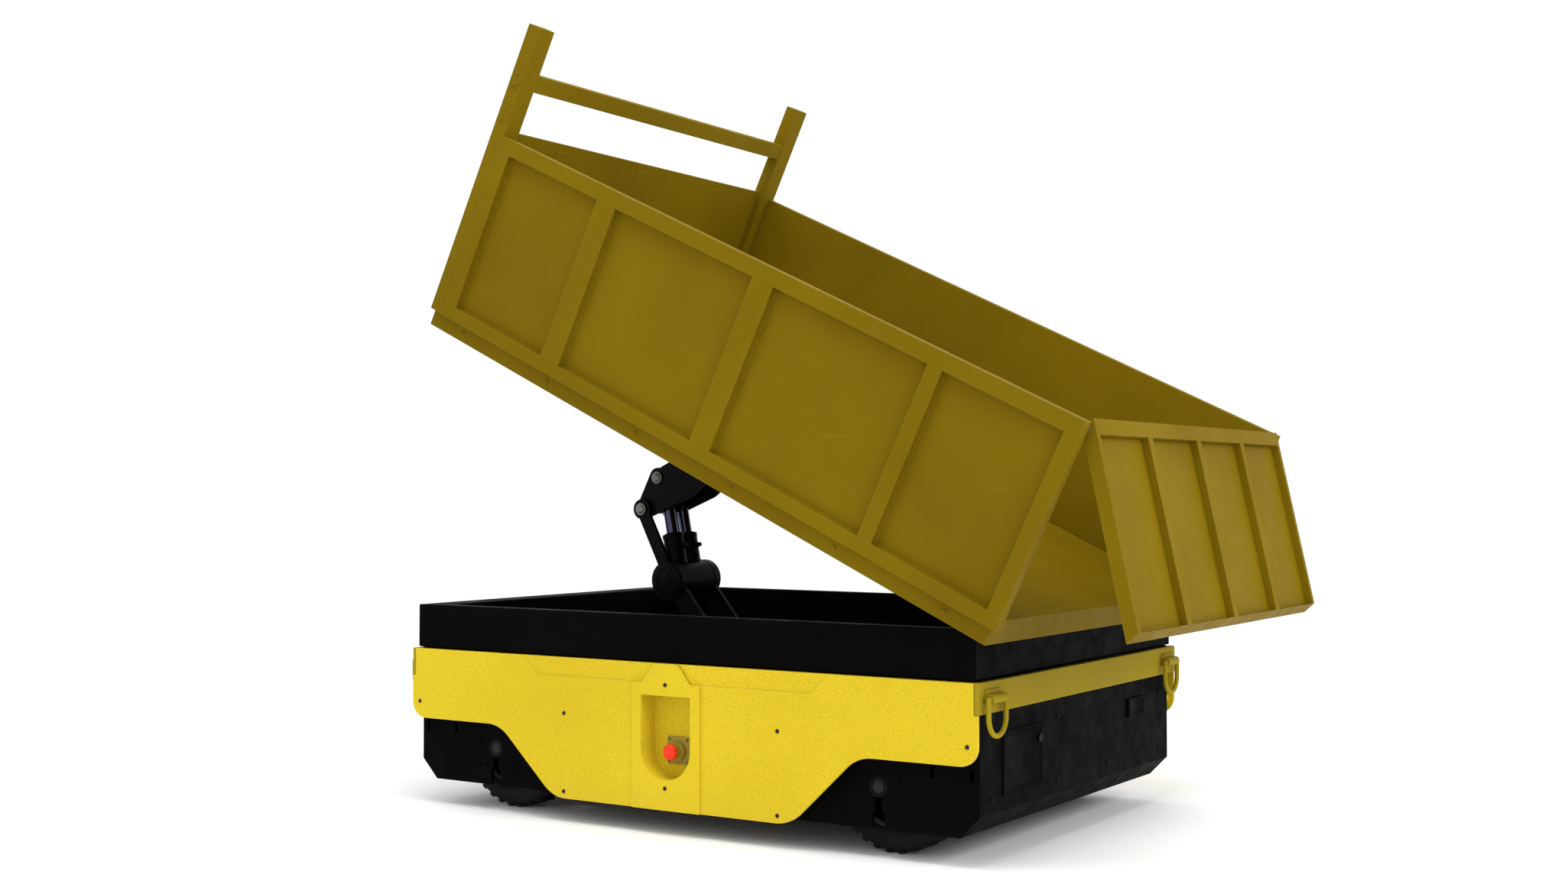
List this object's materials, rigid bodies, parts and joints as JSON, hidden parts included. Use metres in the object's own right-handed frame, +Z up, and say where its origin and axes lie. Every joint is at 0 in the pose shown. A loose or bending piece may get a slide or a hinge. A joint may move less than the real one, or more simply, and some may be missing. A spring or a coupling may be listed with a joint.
{
  "type": "self-propelled grain cart with tipping bed",
  "caption": "Low four-wheel electric grain cart with a hydraulically raised tipping bed, top-hung tailgate, stop buttons and lashing rings.",
  "frame": {"origin": "middle of the footprint on the ground", "axes": "+X to the discharge end with the tailgate, +Y to the right side seen from behind the cart's front, +Z up"},
  "size_m": [2.1095, 1.286, 2.0437],
  "materials": {
    "bed_yellow": "satin",
    "cover_yellow": "satin",
    "chassis_black": "satin",
    "tyre_rubber": "matte",
    "hub_metal": "satin",
    "pin_steel": "satin",
    "rod_chrome": "polished",
    "stop_red": "gloss",
    "stop_yellow": "matte",
    "pad_rubber": "matte",
    "machine_grey": "satin"
  },
  "bodies": {
    "chassis": {"belly_pan": "chassis_black", "wheel_walls": "chassis_black", "bay_walls": "chassis_black", "side_plate_left": "chassis_black", "side_plate_right": "chassis_black", "end_cover_front": "chassis_black", "end_cover_rear": "chassis_black", "deck_frame": "chassis_black", "band_front": "bed_yellow", "band_rear": "bed_yellow", "side_cover_left": "cover_yellow", "side_cover_right": "cover_yellow", "middle_panel_left": "cover_yellow", "middle_panel_right": "cover_yellow", "recess_box_left": "cover_yellow", "recess_box_right": "cover_yellow", "stop_plate_left": "stop_yellow", "stop_plate_right": "stop_yellow", "stop_collar_left": "stop_yellow", "stop_collar_right": "stop_yellow", "cover_screws": "pin_steel", "side_plate_bolts": "chassis_black", "wheel_bearings": "pin_steel", "ring_lugs": "bed_yellow", "drive_motors": "machine_grey", "battery_packs": "machine_grey", "hydraulic_unit": "machine_grey", "control_box": "machine_grey", "hinge_ears": "chassis_black", "hinge_pins": "pin_steel", "lift_arm_shaft": "pin_steel"},
    "bed": {"bed_frame": "bed_yellow", "bed_floor": "bed_yellow", "bed_side_left": "bed_yellow", "bed_side_right": "bed_yellow", "headboard": "bed_yellow", "bed_bracket": "chassis_black", "rest_pads": "pad_rubber"},
    "tailgate": {"tailgate_frame": "bed_yellow", "tailgate_sheet": "bed_yellow", "tailgate_pins": "pin_steel"},
    "lift_arms": {"lift_arms": "chassis_black"},
    "knuckle": {"knuckle_plates": "chassis_black", "knuckle_pins": "pin_steel"},
    "hoist_barrels": {"hoist_barrels": "chassis_black"},
    "hoist_rods": {"hoist_rods": "rod_chrome"},
    "stop_button_left": {"stop_button_left": "stop_red"},
    "stop_button_right": {"stop_button_right": "stop_red"},
    "wheel_front_left": {"tyre_front_left": "tyre_rubber", "hub_front_left": "hub_metal"},
    "ring_front_left": {"ring_front_left": "bed_yellow"},
    "wheel_front_right": {"tyre_front_right": "tyre_rubber", "hub_front_right": "hub_metal"},
    "ring_front_right": {"ring_front_right": "bed_yellow"},
    "wheel_rear_left": {"tyre_rear_left": "tyre_rubber", "hub_rear_left": "hub_metal"},
    "ring_rear_left": {"ring_rear_left": "bed_yellow"},
    "wheel_rear_right": {"tyre_rear_right": "tyre_rubber", "hub_rear_right": "hub_metal"},
    "ring_rear_right": {"ring_rear_right": "bed_yellow"}
  },
  "joints": [
    {"name": "bed_tilt", "type": "hinge", "parent": "chassis", "child": "bed", "pos_m": [0.62222, 0, 0.56], "axis": [0, 1, 0], "range_deg": [-25.4, 10]},
    {"name": "tailgate_swing", "type": "hinge", "parent": "bed", "child": "tailgate", "pos_m": [0.93611, 0, 0.97702], "axis": [0, 1, 0], "range_deg": [-30, 37.7]},
    {"name": "lift_arm_swing", "type": "hinge", "parent": "chassis", "child": "lift_arms", "pos_m": [0.32222, 0, 0.378], "axis": [0, 1, 0], "range_deg": [-26, 10.6]},
    {"name": "knuckle_turn", "type": "hinge", "parent": "lift_arms", "child": "knuckle", "pos_m": [-0.64664, 0, 0.78929], "axis": [0, 1, 0], "range_deg": [-10.6, 26]},
    {"name": "barrel_lean", "type": "hinge", "parent": "lift_arms", "child": "hoist_barrels", "pos_m": [-0.54588, 0, 0.59134], "axis": [0, 1, 0], "range_deg": [-3, 6.85]},
    {"name": "rod_stroke", "type": "slide", "parent": "hoist_barrels", "child": "hoist_rods", "axis": [-0.1908, 0, 0.9816], "range_m": [-0.03148, 0.013]},
    {"name": "wheel_front_left_roll", "type": "hinge", "parent": "chassis", "child": "wheel_front_left", "pos_m": [-0.75778, -0.445, 0.164], "axis": [0, 1, 0], "continuous": true},
    {"name": "wheel_front_right_roll", "type": "hinge", "parent": "chassis", "child": "wheel_front_right", "pos_m": [-0.75778, 0.445, 0.164], "axis": [0, 1, 0], "continuous": true},
    {"name": "wheel_rear_left_roll", "type": "hinge", "parent": "chassis", "child": "wheel_rear_left", "pos_m": [0.40222, -0.445, 0.164], "axis": [0, 1, 0], "continuous": true},
    {"name": "wheel_rear_right_roll", "type": "hinge", "parent": "chassis", "child": "wheel_rear_right", "pos_m": [0.40222, 0.445, 0.164], "axis": [0, 1, 0], "continuous": true},
    {"name": "ring_front_left_swing", "type": "hinge", "parent": "chassis", "child": "ring_front_left", "pos_m": [-1.04378, -0.525, 0.381], "axis": [0, 1, 0], "range_deg": [-4, 100]},
    {"name": "ring_front_right_swing", "type": "hinge", "parent": "chassis", "child": "ring_front_right", "pos_m": [-1.04378, 0.525, 0.381], "axis": [0, 1, 0], "range_deg": [-4, 100]},
    {"name": "ring_rear_left_swing", "type": "hinge", "parent": "chassis", "child": "ring_rear_left", "pos_m": [0.68822, -0.525, 0.381], "axis": [0, 1, 0], "range_deg": [-100, 4]},
    {"name": "ring_rear_right_swing", "type": "hinge", "parent": "chassis", "child": "ring_rear_right", "pos_m": [0.68822, 0.525, 0.381], "axis": [0, 1, 0], "range_deg": [-100, 4]},
    {"name": "stop_button_left_press", "type": "slide", "parent": "chassis", "child": "stop_button_left", "axis": [0, 1, 0], "range_m": [0, 0.004], "stiffness_N_per_m": 2500, "springref_m": -0.002},
    {"name": "stop_button_right_press", "type": "slide", "parent": "chassis", "child": "stop_button_right", "axis": [0, -1, 0], "range_m": [0, 0.004], "stiffness_N_per_m": 2500, "springref_m": -0.002}
  ],
  "couplings": [
    {"joint": "lift_arm_swing", "follows": "bed_tilt", "ratio": 1},
    {"joint": "knuckle_turn", "follows": "bed_tilt", "ratio": -1},
    {"joint": "barrel_lean", "follows": "bed_tilt", "ratio": -0.25},
    {"joint": "rod_stroke", "follows": "bed_tilt", "m_per_rad": 0.06876}
  ]
}
